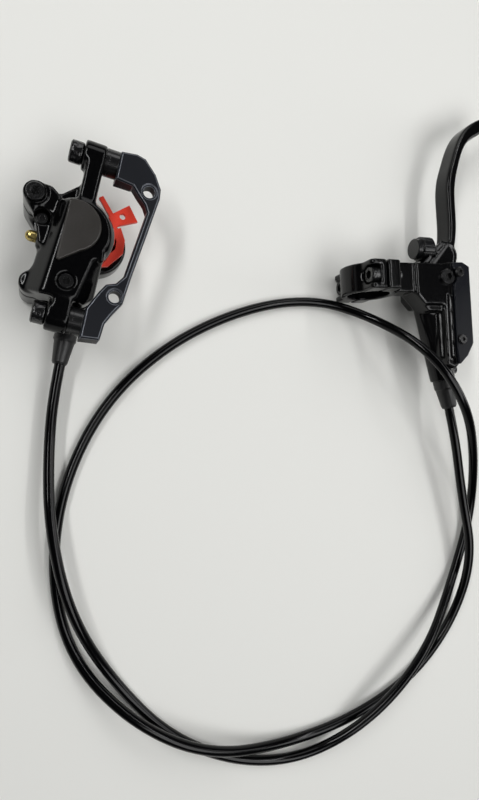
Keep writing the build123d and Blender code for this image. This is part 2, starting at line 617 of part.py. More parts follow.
def clamp_section(side, ear_depth):
    """Half of the clamp's section: ring and two ears, on the +x or -x side of the bar."""
    ear_top = CLAMP_BOLT_RISE + CLAMP_EAR
    start = side * CLAMP_GAP
    with BuildSketch() as section:
        Circle(CLAMP_RADIUS)
        for up in (1, -1):
            with BuildLine():
                Polyline(
                    (start, 0), (start, up * ear_top), (side * (ear_depth - 1.5), up * ear_top),
                    (side * ear_depth, up * (ear_top - 1.5)), (side * ear_depth, up * 9),
                    (side * 10, 0), close=True,
                )
            make_face()
        Circle(BAR_RADIUS, mode=Mode.SUBTRACT)
        with Locations((start, 0)):
            Rectangle(
                60, 60, align=(Align.MAX if side > 0 else Align.MIN, Align.CENTER), mode=Mode.SUBTRACT
            )
    return section.sketch


with BuildPart() as clamp_cap:
    with BuildSketch(clamp_front):
        add(clamp_section(-1, 9.5))
    extrude(amount=clamp_width)
    for up in (1, -1):
        rise = BAR_Z + up * CLAMP_BOLT_RISE
        rod(LEVER, (-CLAMP_SEAT, 0, rise), (-30, 0, rise), M5_HEAD + 0.4, Mode.SUBTRACT)
        with BuildSketch(facing_right(LEVER, -CLAMP_SEAT, 0, rise)):
            Rectangle(2 * M5_HEAD + 0.8, 12, align=(Align.CENTER, Align.MIN if up > 0 else Align.MAX))
        extrude(amount=-30, mode=Mode.SUBTRACT)
        rod(LEVER, (0, 0, rise), (-20, 0, rise), M5_SHANK + RUNNING, Mode.SUBTRACT)

clamp_screws = [
    socket_screw(
        Plane(LEVER.from_local_coords((-CLAMP_SEAT, 0, BAR_Z + up * CLAMP_BOLT_RISE)), z_dir=-LEVER.x_dir),
        M5_HEAD, M5_HEIGHT, M5_SHANK, 14.5, M5_KEY,
    ).part
    for up in (1, -1)
]
with BuildPart() as clamp_bolts:
    add(clamp_screws)

# Lever housing: clamp half, neck, deck with the blade slot, cylinder and reservoir in one casting
RESERVOIR = ((44.5, -9), (56.2, -9), (56.2, -35.1), (52, -42), (45.2, -48.4), (40, -46), (40, -9))
DECK = ((40, 8.8), (44.5, 9.7), (51.7, 9.7), (56.2, 7.2), (56.2, -10), (40, -10))
with BuildPart() as lever_housing:
    with BuildSketch(clamp_front):
        add(clamp_section(1, 8.5))
    extrude(amount=clamp_width)
    with BuildSketch(LEVER.offset(NECK[0])):
        with BuildLine():
            Polyline((12.5, -7), (22, -7), (31, -17), (40, -17), (40, 0), (25.5, 9), (12.5, 9), close=True)
        make_face()
    extrude(amount=NECK[1] - NECK[0])
    # Two cheeks that hold the pivot, the lower one cut back towards it
    for left, low, high in ((28, NECK[0], RESERVOIR_TOP), (33, CHEEK_BOTTOM, NECK[0])):
        with BuildSketch(LEVER.offset(low)):
            with BuildLine():
                Polyline(
                    (left - 5, -8), (left, -13.5), (46, -13.5), (49.9, 1.3), (42.4, 8.8), (left - 5, 8.8),
                    close=True,
                )
            make_face()
            with Locations(PIVOT):
                Circle(PIVOT_BOSS)
        extrude(amount=high - low)
    with BuildSketch(LEVER.offset(SLOT[1])):
        with BuildLine():
            Polyline(*DECK, close=True)
        make_face()
    extrude(amount=RESERVOIR_TOP - SLOT[1])
    # Slot of the blade's root, open to the hand and to the right
    with BuildSketch(LEVER.offset(SLOT[0])):
        with Locations((25, -7.4)):
            Rectangle(60, 40, align=(Align.MIN, Align.MIN))
    extrude(amount=SLOT[1] - SLOT[0], mode=Mode.SUBTRACT)
    rod(MASTER, (0, 0, MASTER_MOUTH), (0, 0, MASTER_END), MASTER_RADIUS)
    with BuildSketch(LEVER.offset(RESERVOIR_FLOOR)):
        with BuildLine():
            Polyline(*RESERVOIR, close=True)
        make_face()
    extrude(amount=RESERVOIR_TOP - RESERVOIR_FLOOR)
    # Sloping shoulder between the cylinder and the lid
    with BuildSketch(facing_front(LEVER, -8)):
        with BuildLine():
            Polyline(*SHOULDER, close=True)
        make_face()
    extrude(amount=35)
    rod(MASTER, (4, 0, 50.5), (BLEED_RISE, 0, 50.5), 3.6)
    # Cylinder bore with its clip groove, fitting port and bleed screw seat
    rod(MASTER, (0, 0, 5), (0, 0, MASTER_BORE_END), MASTER_BORE, Mode.SUBTRACT)
    rod(MASTER, (0, 0, 10.5), (0, 0, 11.7), MASTER_BORE + 0.7, Mode.SUBTRACT)
    rod(MASTER, (0, 0, MASTER_END - PORT_DEPTH), (0, 0, MASTER_END), PORT_RADIUS, Mode.SUBTRACT)
    rod(MASTER, (0, 0, 40), (0, 0, 50), PASSAGE, Mode.SUBTRACT)
    rod(MASTER, (9, 0, 50.5), (BLEED_RISE - 2.6, 0, 50.5), 2.05, Mode.SUBTRACT)
    rod(MASTER, (BLEED_RISE - 2.2, 0, 50.5), (4.2, 0, 44.4), 0.5, Mode.SUBTRACT)
    # Reservoir: shallow under the deck, deep beside the cylinder, with its feed to the bore
    with BuildSketch(LEVER.offset(28.6)):
        with Locations((46.6, -28.3)):
            Rectangle(7.6, 25, align=(Align.MIN, Align.MIN))
    extrude(amount=5, mode=Mode.SUBTRACT)
    with BuildSketch(LEVER.offset(RESERVOIR_FLOOR + 2)):
        with Locations((46.6, -28.3)):
            Rectangle(7.6, 17, align=(Align.MIN, Align.MIN))
    extrude(amount=15, mode=Mode.SUBTRACT)
    rod(LEVER, (48.2, -26.4, 19), (39.6, -34.8, BAR_Z), 0.5, Mode.SUBTRACT)
    # Pivot, clamp threads and cover screw threads
    rod(LEVER, (*PIVOT, 0), (*PIVOT, 40), PIVOT_PIN + RUNNING, Mode.SUBTRACT)
    for up in (1, -1):
        rise = BAR_Z + up * CLAMP_BOLT_RISE
        rod(LEVER, (0, 0, rise), (12, 0, rise), M5_SHANK + RUNNING, Mode.SUBTRACT)
    for place in COVER_SCREWS:
        rod(LEVER, (*place, RESERVOIR_TOP - 3.4), (*place, 40), 1.55, Mode.SUBTRACT)

DIAPHRAGM = 0.6


def cover_outline():
    """Outline that the reservoir cover shares with its diaphragm, relieved round the pivot head."""
    with BuildSketch() as outline:
        with BuildLine():
            Polyline(
                (44.8, 9.1), (51.5, 9.3), (55.8, 7), (55.8, -35), (51.8, -41.6), (45.4, -47.4),
                (44.8, -40), close=True,
            )
        make_face()
        fillet(outline.vertices(), 1.2)
        with Locations(PIVOT):
            Circle(5, mode=Mode.SUBTRACT)
        with Locations(*COVER_SCREWS):
            Circle(1.6, mode=Mode.SUBTRACT)
    return outline.sketch


with BuildPart() as reservoir_diaphragm:
    with BuildSketch(LEVER.offset(RESERVOIR_TOP)):
        add(cover_outline())
    extrude(amount=DIAPHRAGM)
    with BuildSketch(LEVER.offset(RESERVOIR_TOP - 7)):
        with Locations((46.9, -28)):
            Rectangle(7, 16.4, align=(Align.MIN, Align.MIN))
    extrude(amount=7)
    with BuildSketch(LEVER.offset(RESERVOIR_TOP - 7 + DIAPHRAGM)):
        with Locations((46.9 + DIAPHRAGM, -28 + DIAPHRAGM)):
            Rectangle(7 - 2 * DIAPHRAGM, 16.4 - 2 * DIAPHRAGM, align=(Align.MIN, Align.MIN))
    extrude(amount=8, mode=Mode.SUBTRACT)

cover_base = RESERVOIR_TOP + DIAPHRAGM
with BuildPart() as reservoir_cover:
    with BuildSketch(LEVER.offset(cover_base)):
        add(cover_outline())
    extrude(amount=COVER)
    rim = reservoir_cover.faces().sort_by(Axis.Z)[-1].outer_wire().edges()
    chamfer(rim, 0.5)

cover_seats = [
    Plane(LEVER.from_local_coords((*place, cover_base + COVER)), z_dir=LEVER.z_dir) for place in COVER_SCREWS
]
cover_parts = [socket_screw(seat, 2.7, 1.5, 1.5, 5.7, 2.0).part for seat in cover_seats]
with BuildPart() as cover_screws:
    add(cover_parts)

bleed_seat = Plane(MASTER.from_local_coords((BLEED_RISE, 0, 50.5)), z_dir=MASTER.x_dir)
bleed_screw = socket_screw(bleed_seat, 3.1, 1.6, 2.0, 2.4, 2.5)

# Pivot: screw through both cheeks, two flanged bushes in the blade, spring clip below
PIVOT_AXIS = Plane(LEVER.from_local_coords((*PIVOT, RESERVOIR_TOP)), z_dir=LEVER.z_dir)
pivot_depth = RESERVOIR_TOP - CHEEK_BOTTOM
with BuildPart() as pivot_pin:
    with BuildSketch(half_section(PIVOT_AXIS)):
        with BuildLine():
            Polyline(
                (0, 1.8), (3.8, 1.8), (4.3, 1.3), (4.3, 0), (PIVOT_PIN, 0), (PIVOT_PIN, -pivot_depth - 0.1),
                (2.2, -pivot_depth - 0.1), (2.2, -pivot_depth - 0.9), (PIVOT_PIN, -pivot_depth - 0.9),
                (PIVOT_PIN, -pivot_depth - 1.6), (2.5, -pivot_depth - 2.1), (0, -pivot_depth - 2.1),
                close=True,
            )
        make_face()
    revolve(axis=Axis(PIVOT_AXIS.origin, PIVOT_AXIS.z_dir))
    with BuildSketch(PIVOT_AXIS.offset(1.8)):
        RegularPolygon(2, 6, major_radius=False)
    extrude(amount=-1.6, mode=Mode.SUBTRACT)
with BuildPart() as pivot_clip:
    with BuildSketch(PIVOT_AXIS.offset(-pivot_depth - 0.8)):
        Circle(5)
        Circle(2.25, mode=Mode.SUBTRACT)
        with Locations((0, -5)):
            Rectangle(3.6, 8, mode=Mode.SUBTRACT)
    extrude(amount=0.7)

blade_middle = (BLADE_ROOT[0] + BLADE_ROOT[1]) / 2
half_root = (BLADE_ROOT[1] - BLADE_ROOT[0]) / 2
bush_section = [
    (PIVOT_PIN + RUNNING, 1), (BUSH_RADIUS - RUNNING, 1), (BUSH_RADIUS - RUNNING, half_root),
    (5.5, half_root), (5.5, half_root + 0.25), (PIVOT_PIN + RUNNING, half_root + 0.25),
]
bushes = [
    turned(Plane(LEVER.from_local_coords((*PIVOT, blade_middle)), z_dir=normal), bush_section).part
    for normal in (LEVER.z_dir, -LEVER.z_dir)
]
with BuildPart() as pivot_bushes:
    add(bushes)

# Blade: root plate round the pivot, hooked finger part, pocket of the reach adjuster
INNER_FACE = (
    (48.5, 20), (50.2, 29), (51.7, 60), (54.8, 69), (65.1, 88), (75, 94.6), (82, 97.6), (88.6, 100.2),
)
OUTER_FACE = ((91, 94.2), (84, 91.6), (75.2, 86), (68.4, 82), (60.2, 68), (56.3, 53), (55.9, 41), (54.2, 22))
with BuildPart() as lever_blade:
    with BuildSketch(LEVER.offset(BLADE_FINGER[0])):
        with BuildLine():
            Spline(*INNER_FACE)
            Line(INNER_FACE[-1], OUTER_FACE[0])
            Spline(*OUTER_FACE)
            Polyline(OUTER_FACE[-1], (52, 14), (47, 14), INNER_FACE[0])
        make_face()
    extrude(amount=BLADE_FINGER[1] - BLADE_FINGER[0])
    long_edges = lever_blade.edges().filter_by(GeomType.BSPLINE)
    fillet(long_edges, 1.5)
    with Locations(Plane(LEVER.from_local_coords((90.4, 97.4, ADJUSTER_Z)), z_dir=LEVER.z_dir)):
        Sphere(5.8)
    with BuildSketch(LEVER.offset(BLADE_ROOT[0])):
        with Locations(PIVOT, (47, 15)):
            Circle(7.5)
        with Locations((32, 5.5)):
            Circle(3.5)
        with Locations(NOSE_AT):
            Circle(NOSE_RADIUS)
        make_hull()
        with Locations((37.8, 0.6)):
            Rectangle(20, 20, align=(Align.MAX, Align.MAX), mode=Mode.SUBTRACT)
        with Locations(NOSE_AT):
            Circle(NOSE_RADIUS)
    extrude(amount=BLADE_ROOT[1] - BLADE_ROOT[0])
    # Shallow channel between the two ridges, on both faces
    for face, up in zip(BLADE_ROOT, (1, -1)):
        with BuildSketch(LEVER.offset(face)):
            with BuildLine():
                Polyline((32.5, 9.4), (36.5, 9.4), (47.3, 20.6), (44.8, 22), close=True)
            make_face()
        extrude(amount=up * 0.9, mode=Mode.SUBTRACT)
    rod(LEVER, (20, ADJUSTER_V, ADJUSTER_Z), (40.4, ADJUSTER_V, ADJUSTER_Z), 7.3, Mode.SUBTRACT)
    rod(LEVER, (40, ADJUSTER_V, ADJUSTER_Z), (46.3, ADJUSTER_V, ADJUSTER_Z), 2.5 + RUNNING, Mode.SUBTRACT)
    rod(LEVER, (*PIVOT, 0), (*PIVOT, 40), BUSH_RADIUS, Mode.SUBTRACT)

adjuster_axis = facing_right(LEVER, 0, ADJUSTER_V, ADJUSTER_Z)
with BuildPart() as reach_adjuster:
    with BuildSketch(half_section(adjuster_axis)):
        with BuildLine():
            Polyline(
                (0, 29.9), (5.2, 29.9), (5.6, 30.3), (5.6, 33), (6.3, 33), (6.7, 33.4), (6.7, 39.6),
                (6.3, 40), (2.5, 40), (2.5, 46), (0, 46), close=True,
            )
        make_face()
    revolve(axis=Axis(adjuster_axis.origin, adjuster_axis.z_dir))
    with BuildSketch(adjuster_axis.offset(33)):
        with PolarLocations(7.2, 12):
            Circle(0.9)
    extrude(amount=7, mode=Mode.SUBTRACT)

# Master cylinder: push rod, piston, two seals, return spring and retaining clip
rod_seat = MASTER_PISTON[0] + 1.5
push_rod = turned(MASTER, [
    (0, 2), (2.6, 2), (3, 2.4), (3, 3.4), (2, 4.2), (2, rod_seat - 0.6), (1.4, rod_seat), (0, rod_seat),
])
SEAL_SEATS = {"secondary": 15.0, "primary": 31.0}
SEAL_WIDTH = 2.0
land = MASTER_BORE - RUNNING
back, front = MASTER_PISTON
grooves = [(start, start + SEAL_WIDTH) for start in SEAL_SEATS.values()]
master_piston = turned(MASTER, [
    (0, rod_seat), (2.1, rod_seat), (2.1, back), (land, back), (land, grooves[0][0]), (3.4, grooves[0][0]),
    (3.4, grooves[0][1]), (land, grooves[0][1]), (land, 19), (3.2, 20), (3.2, 28), (land, 29),
    (land, grooves[1][0]), (3.4, grooves[1][0]), (3.4, grooves[1][1]), (land, grooves[1][1]),
    (land, front), (0, front),
])
master_seals = {
    name: ring(MASTER, 3.4 + RUNNING, land, start + RUNNING, start + SEAL_WIDTH - RUNNING, ease=0.3)
    for name, start in SEAL_SEATS.items()
}
with BuildPart() as retaining_clip:
    with BuildSketch(MASTER.offset(10.6)):
        Circle(MASTER_BORE + 0.6)
        Circle(3.5, mode=Mode.SUBTRACT)
        with Locations((0, 5)):
            Rectangle(2.4, 6, mode=Mode.SUBTRACT)
    extrude(amount=1.0)

SPRING_WIRE, SPRING_RADIUS, SPRING_TURNS = 0.45, 3.6, 4.5
spring_span = MASTER_BORE_END - front - 2 * SPRING_WIRE - 0.1
with BuildPart() as return_spring:
    with BuildLine() as coil:
        Helix(
            spring_span / SPRING_TURNS, spring_span, SPRING_RADIUS,
            center=MASTER.from_local_coords((0, 0, front + SPRING_WIRE + 0.05)), direction=MASTER.z_dir,
        )
    with BuildSketch(Plane(coil.line @ 0, z_dir=coil.line % 0)):
        Circle(SPRING_WIRE)
    sweep()

pieces = {
    "caliper_outer_half": outer_half,
    "caliper_inner_half": inner_half,
    "caliper_cover_plate": cover_plate,
    "caliper_body_bolts": body_bolts,
    "caliper_crossover_seal": crossover_seal,
    "caliper_passage_plug": passage_plug,
    "bleed_nipple": bleed_nipple,
    "pad_pin": pad_pin,
    "pad_spring": pad_spring,
    "pad_spacer": pad_spacer,
    "mount_adapter": mount_adapter,
    "mount_bolts": mount_bolts,
    **{f"{kind}_washers": pair for kind, pair in washers.items()},
    **{f"{side}_piston": piston for side, piston in pistons.items()},
    **{f"{side}_piston_seal": seal for side, seal in piston_seals.items()},
    **{f"{side}_pad_plate": plate for side, plate in pad_plates.items()},
    **{f"{side}_pad_lining": lining for side, lining in pad_linings.items()},
    **{f"{end}_hose_nut": nut for end, nut in nuts.items()},
    **{f"{end}_hose_olive": olive for end, olive in olives.items()},
    **{f"{end}_hose_barb": barb for end, barb in barbs.items()},
    **{f"{end}_hose_boot": boot for end, boot in boots.items()},
    "brake_hose": hose,
    "lever_housing": lever_housing,
    "clamp_cap": clamp_cap,
    "clamp_bolts": clamp_bolts,
    "reservoir_diaphragm": reservoir_diaphragm,
    "reservoir_cover": reservoir_cover,
    "cover_screws": cover_screws,
    "lever_bleed_screw": bleed_screw,
    "pivot_pin": pivot_pin,
    "pivot_clip": pivot_clip,
    "pivot_bushes": pivot_bushes,
    "lever_blade": lever_blade,
    "reach_adjuster": reach_adjuster,
    "push_rod": push_rod,
    "master_piston": master_piston,
    **{f"{name}_seal": seal for name, seal in master_seals.items()},
    "retaining_clip": retaining_clip,
    "return_spring": return_spring,
}

os.makedirs("parts", exist_ok=True)
for name, piece in pieces.items():
    piece.part.label = name
    export_step(piece.part, f"parts/{name}.step")

still = [piece.part for name, piece in pieces.items() if name != "brake_hose"]
box = Compound(children=still).bounding_box()
print("nodes", len(pieces), "box without the hose", [round(v, 2) for v in (*box.min, *box.max)])
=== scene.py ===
"""Looks of a bicycle disc brake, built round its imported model: caliper, hose and lever.

The frame's axes hold: +Z up, the caliper on the left, the lever on the right. The stage and the
camera are given in metres, and the brake's own pieces and finishes in millimetres.
"""

import logging
import math
from collections.abc import Iterable
from dataclasses import dataclass, field
from enum import Enum

import bmesh
import bpy
from mathutils import Matrix, Vector


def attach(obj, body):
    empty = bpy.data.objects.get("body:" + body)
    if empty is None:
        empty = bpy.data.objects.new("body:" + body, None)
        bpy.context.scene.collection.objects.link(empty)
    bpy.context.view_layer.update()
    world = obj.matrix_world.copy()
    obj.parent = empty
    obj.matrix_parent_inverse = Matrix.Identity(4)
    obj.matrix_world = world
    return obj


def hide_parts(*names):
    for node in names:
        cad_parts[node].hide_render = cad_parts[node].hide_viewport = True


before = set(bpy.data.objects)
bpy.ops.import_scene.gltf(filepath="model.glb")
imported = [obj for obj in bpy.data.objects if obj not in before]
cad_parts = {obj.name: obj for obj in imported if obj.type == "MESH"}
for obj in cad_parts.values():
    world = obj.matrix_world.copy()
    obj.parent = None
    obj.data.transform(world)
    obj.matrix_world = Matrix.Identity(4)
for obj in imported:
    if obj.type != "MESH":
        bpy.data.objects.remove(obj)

LOG = logging.getLogger("brake")
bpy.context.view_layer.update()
MM = 0.001
Point = tuple[float, float, float]

# What all finishes share
LINE_STRETCH = (1.0, 1.0, 0.06)  # lines run along Z, where their pattern is drawn out 17 times
PATCH_SIZE = 25.0  # mm, of the broad patches where handling has left a surface a little duller
PATCH_RANGE = (0.3, 0.7)  # of the broad pattern, from the glossiest patch to the dullest
PATCH_GLOSS = (0.88, 1.15)  # times the finish's own roughness, at those two ends
TINT_RANGE = (0.35, 0.65)  # of the fine pattern, from the finish's colour to its tint
EDGE_SAMPLES = 4  # rays that round an edge in shading
COLOUR_RESULT = 2  # the output of a Mix node that holds a colour

# What all pieces share
WELD = 0.002  # mm, within which the corners of loose triangles are one
FLAT = 0.8  # degrees, below which two faces are one flat face
SHARP = 38.0  # degrees, above which shading keeps an edge
LEVEL = 0.99  # least upward part of the normal of a level face
CROWN_STEPS = 6  # faces across the rounding of a casting's ridge
RELAX = 0.5  # share of the way to its neighbours that one pass moves a corner


# --- nodes, colours and finishes ---------------------------------------------------------------


def linear(colour: str) -> tuple[float, float, float, float]:
    """Turn an sRGB hex colour into the linear values that a shader socket takes.

    Args:
        colour: Six hex digits.

    Returns:
        Red, green, blue and an alpha of 1.
    """
    parts = [int(colour[place:place + 2], 16) / 255 for place in (0, 2, 4)]
    red, green, blue = (
        part / 12.92 if part <= 0.04045 else ((part + 0.055) / 1.055) ** 2.4 for part in parts
    )
    return red, green, blue, 1.0


def add_node(
    tree: bpy.types.NodeTree, kind: str, inputs: dict | None = None, **settings: object
) -> bpy.types.Node:
    """Add one node with its settings and links.

    Args:
        tree: The node tree that gets it.
        kind: The node's type name.
        inputs: For each input socket, a value or the socket that feeds it.
        settings: The node's own settings.

    Returns:
        The new node.
    """
    node = tree.nodes.new(kind)
    for key, value in settings.items():
        setattr(node, key, value)
    for socket, value in (inputs or {}).items():
        if isinstance(value, bpy.types.NodeSocket):
            tree.links.new(value, node.inputs[socket])
        else:
            node.inputs[socket].default_value = value
    return node


def empty_tree(owner: bpy.types.Material | bpy.types.World) -> bpy.types.NodeTree:
    """Give a material or a world a node tree with nothing in it.

    Args:
        owner: The material or world.

    Returns:
        Its node tree.
    """
    owner.use_nodes = True
    owner.node_tree.nodes.clear()
    return owner.node_tree


class Marks(Enum):
    """What the making of a surface leaves on it."""

    PEEL = "soft waves of sprayed enamel"
    GRAIN = "even grain of blasting, turning or a mould"
    LINES = "long lines of drawing, milling or extruding"
    FLECKS = "small cells: chips of metal in a pressed mix, or the facets of a knurl"


@dataclass(frozen=True)
class Finish:
    """A surface finish, with the sizes of its marks and of its rounded edges in millimetres."""

    name: str
    colour: str
    roughness: float
    marks: Marks
    size: float
    depth: float
    metallic: float = 0.0
    ior: float = 1.5
    coat: float = 0.0
    coat_roughness: float = 0.08
    tint: str | None = None
    edge: float = 0.25

    def material(self) -> bpy.types.Material:
        """Return this finish's material, made on first use."""
        return bpy.data.materials.get(self.name) or self._make()

    def _fine(self, tree: bpy.types.NodeTree, place: bpy.types.NodeSocket) -> bpy.types.NodeSocket:
        """Draw the marks' own fine pattern.

        Args:
            tree: The material's node tree.
            place: The coordinates that the pattern reads.

        Returns:
            The pattern's value.
        """
        scale = 1 / (self.size * MM)
        if self.marks is Marks.FLECKS:
            return add_node(
                tree, "ShaderNodeTexVoronoi", {"Vector": place, "Scale": scale}, feature="F1"
            ).outputs["Distance"]
        return add_node(
            tree, "ShaderNodeTexNoise",
            {"Vector": place, "Scale": scale, "Detail": 3.0, "Roughness": 0.5},
        ).outputs["Fac"]

    def _make(self) -> bpy.types.Material:
        """Build the node tree.

        Returns:
            The material, whose colour, roughness and relief follow its marks.
        """
        material = bpy.data.materials.new(self.name)
        tree = empty_tree(material)
        place = add_node(tree, "ShaderNodeTexCoord").outputs["Object"]
        if self.marks is Marks.LINES:
            place = add_node(
                tree, "ShaderNodeMapping", {"Vector": place, "Scale": LINE_STRETCH}
            ).outputs["Vector"]
        fine = self._fine(tree, place)
        broad = add_node(
            tree, "ShaderNodeTexNoise",
            {"Vector": place, "Scale": 1 / (PATCH_SIZE * MM), "Detail": 2.0},
        ).outputs["Fac"]
        glossiest, dullest = PATCH_GLOSS
        dull = add_node(
            tree, "ShaderNodeMapRange",
            {"Value": broad, "From Min": PATCH_RANGE[0], "From Max": PATCH_RANGE[1],
             "To Min": self.roughness * glossiest, "To Max": self.roughness * dullest},
        ).outputs["Result"]
        blend = add_node(
            tree, "ShaderNodeMapRange",
            {"Value": fine, "From Min": TINT_RANGE[0], "From Max": TINT_RANGE[1]},
        ).outputs["Result"]
        colour = add_node(
            tree, "ShaderNodeMix",
            {"Factor": blend, "A": linear(self.colour), "B": linear(self.tint or self.colour)},
            data_type="RGBA",
        ).outputs[COLOUR_RESULT]
        eased = add_node(
            tree, "ShaderNodeBevel", {"Radius": self.edge * MM}, samples=EDGE_SAMPLES
        ).outputs["Normal"]
        relief = add_node(
            tree, "ShaderNodeBump",
            {"Height": fine, "Normal": eased, "Distance": self.depth * MM, "Strength": 1.0},
        ).outputs["Normal"]
        shader = add_node(
            tree, "ShaderNodeBsdfPrincipled",
            {"Base Color": colour, "Roughness": dull, "Normal": relief,
             "Metallic": self.metallic, "IOR": self.ior,
             "Coat Weight": self.coat, "Coat Roughness": self.coat_roughness},
        )
        add_node(tree, "ShaderNodeOutputMaterial", {"Surface": shader.outputs["BSDF"]})
        return material


# The grain and lines of the real surfaces are finer than 0.1 mm. They are drawn at 0.3 to 0.6 mm,
# so that a render shows them. The black finishes have a low index of refraction, matched to how
# little the real ones mirror of the pale table.

# Gloss enamel over die-cast aluminium: near-black, wet-looking, with a faint orange peel
ENAMEL = Finish("gloss_enamel_casting", "040405", 0.14, Marks.PEEL, 1.6, 0.005,
                tint="060607", ior=1.3, edge=0.3)
# Satin hard anodising on turned aluminium: warm, brown-black, a soft even sheen
COVER_SATIN = Finish("satin_anodised_cover", "1F1C19", 0.42, Marks.GRAIN, 0.35, 0.004,
                     tint="262320", edge=0.3)
# Bead-blasted and anodised plate aluminium: matt blue-black
ANODISED = Finish("blasted_anodised_plate", "0B0D12", 0.5, Marks.GRAIN, 0.3, 0.008,
                  tint="10131A", ior=1.27, edge=0.3)
# The same plate where its edges are milled after blasting: paler and brighter
MILLED = Finish("milled_anodised_edge", "4A4D53", 0.3, Marks.LINES, 0.3, 0.003,
                metallic=0.6, tint="63666C", edge=0.2)
# Black-oxide steel: dark, a little oily, with the fine grain of turning
BLACK_STEEL = Finish("black_oxide_steel", "0B0B0C", 0.26, Marks.GRAIN, 0.5, 0.004,
                     tint="101011", coat=0.15)
# Knurled screw heads in the same black oxide: small facets that each catch a lamp
KNURLED_STEEL = Finish("knurled_black_oxide_steel", "0A0A0B", 0.2, Marks.FLECKS, 0.9, 0.12,
                       tint="111112", coat=0.15)
# Spring steel and pad plates, ground and left bare
STEEL = Finish("ground_spring_steel", "A9ABAD", 0.3, Marks.LINES, 0.3, 0.003,
               metallic=1.0, tint="8F9295")
# Free-cutting brass as it leaves the lathe, a little dulled
BRASS = Finish("turned_brass", "C2B074", 0.26, Marks.GRAIN, 0.4, 0.004,
               metallic=1.0, tint="AB9658")
# Moulded nitrile rubber: dull, faintly grained
SEAL_RUBBER = Finish("moulded_seal_rubber", "141415", 0.6, Marks.GRAIN, 0.3, 0.006,
                     tint="1A1A1B")
# Moulded hose boots: softer sheen, even grain
BOOT_RUBBER = Finish("moulded_boot_rubber", "0A0A0B", 0.42, Marks.GRAIN, 0.45, 0.008,
                     tint="0F0F10")
# Extruded nylon jacket: smooth and glossy, with one fine bright line where a lamp catches it
HOSE_NYLON = Finish("extruded_nylon_jacket", "030304", 0.13, Marks.LINES, 0.5, 0.001,
                    tint="050506", ior=1.3)
# Pressed phenolic resin of the pistons: dark brown, dull
PHENOLIC = Finish("pressed_phenolic", "17140F", 0.5, Marks.GRAIN, 0.4, 0.004,
                  tint="1F1B15")
# Friction mix with chips of copper in it: rough, dark, with warm specks
LINING = Finish("pressed_friction_mix", "4A433B", 0.8, Marks.FLECKS, 0.7, 0.02,
                tint="7C6142")
# Injection-moulded polypropylene: bright, slightly waxy red
SPACER_RED = Finish("moulded_red_polypropylene", "FA4430", 0.36, Marks.GRAIN, 0.6, 0.006,
                    tint="FF4C38")
# Gloss anodising on forged aluminium: deep black with a hard sheen
LEVER_BLACK = Finish("gloss_forged_lever", "050506", 0.15, Marks.PEEL, 2.0, 0.005,
                     tint="070708", ior=1.35, edge=0.3)
# Moulded lid: satin, a little blue beside the gloss of the body
RESERVOIR_COVER = Finish("satin_moulded_lid", "080A10", 0.3, Marks.GRAIN, 0.35, 0.004,
                         tint="0B0D14", ior=1.28, edge=0.4)
# Anodised knob: even, dark
ADJUSTER = Finish("anodised_knob", "08080A", 0.24, Marks.GRAIN, 0.4, 0.003,
                  tint="0C0C0E", edge=0.3)
# Clear-anodised alloy, turned: pale, with fine lines
PISTON_ALLOY = Finish("turned_piston_alloy", "B9BBBE", 0.26, Marks.LINES, 0.3, 0.003,
                      metallic=1.0, tint="A5A8AB")


# --- making and placing pieces -----------------------------------------------------------------


def add_object(name: str, data: bpy.types.ID) -> bpy.types.Object:
    """Put a new object into the scene.

    Args:
        name: The object's name.
        data: Its mesh, curve, camera or light.

    Returns:
        The object.
    """
    made = bpy.data.objects.new(name, data)
    bpy.context.scene.collection.objects.link(made)
    return made


def mesh_data(mesh: bmesh.types.BMesh, name: str) -> bpy.types.Mesh:
    """Turn a bmesh into mesh data.

    Args:
        mesh: The bmesh, which is freed.
        name: The data's name.

    Returns:
        The mesh data.
    """
    data = bpy.data.meshes.new(name)
    mesh.to_mesh(data)
    mesh.free()
    return data


def dress(piece: bpy.types.Object, finish: Finish) -> None:
    """Put one finish in every material slot of a piece.

    Args:
        piece: The object to dress.
        finish: Its finish.
    """
    if not piece.material_slots:
        piece.data.materials.append(finish.material())
    for slot in piece.material_slots:
        slot.material = finish.material()


def dress_nodes(finish: Finish, names: Iterable[str]) -> None:
    """Dress CAD nodes whose shape stays as it is.

    Args:
        finish: The finish that they share.
        names: The nodes' names.
    """
    for name in names:
        dress(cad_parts[name], finish)
        LOG.info("%s: %s", name, finish.name)


def settle(
    mesh: bmesh.types.BMesh, name: str, finish: Finish, body: str,
) -> bpy.types.Object:
    """Turn a finished bmesh into a piece that rides on a body.

    Args:
        mesh: The bmesh, which is freed.
        name: The piece's name.
        finish: What it is dressed in.
        body: The CAD body that it moves with.

    Returns:
        The piece.
    """
    data = mesh_data(mesh, name)
    data.shade_smooth()
    data.set_sharp_from_angle(angle=math.radians(SHARP))
    piece = add_object(name, data)
    weigh = piece.modifiers.new("even_normals", "WEIGHTED_NORMAL")
    weigh.keep_sharp = True
    dress(piece, finish)
    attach(piece, body)
    LOG.info("%s: %d faces", name, len(data.polygons))
    return piece


def merged_copy(name: str) -> bmesh.types.BMesh:
    """Copy a CAD node's mesh, with its loose triangles merged and its flat faces made whole.

    Args:
        name: The node's name.

    Returns:
        The copy as a bmesh.
    """
    mesh = bmesh.new()
    mesh.from_mesh(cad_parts[name].data)
    bmesh.ops.remove_doubles(mesh, verts=mesh.verts, dist=WELD * MM)
    bmesh.ops.dissolve_limit(
        mesh, angle_limit=math.radians(FLAT), verts=mesh.verts, edges=mesh.edges
    )
    return mesh


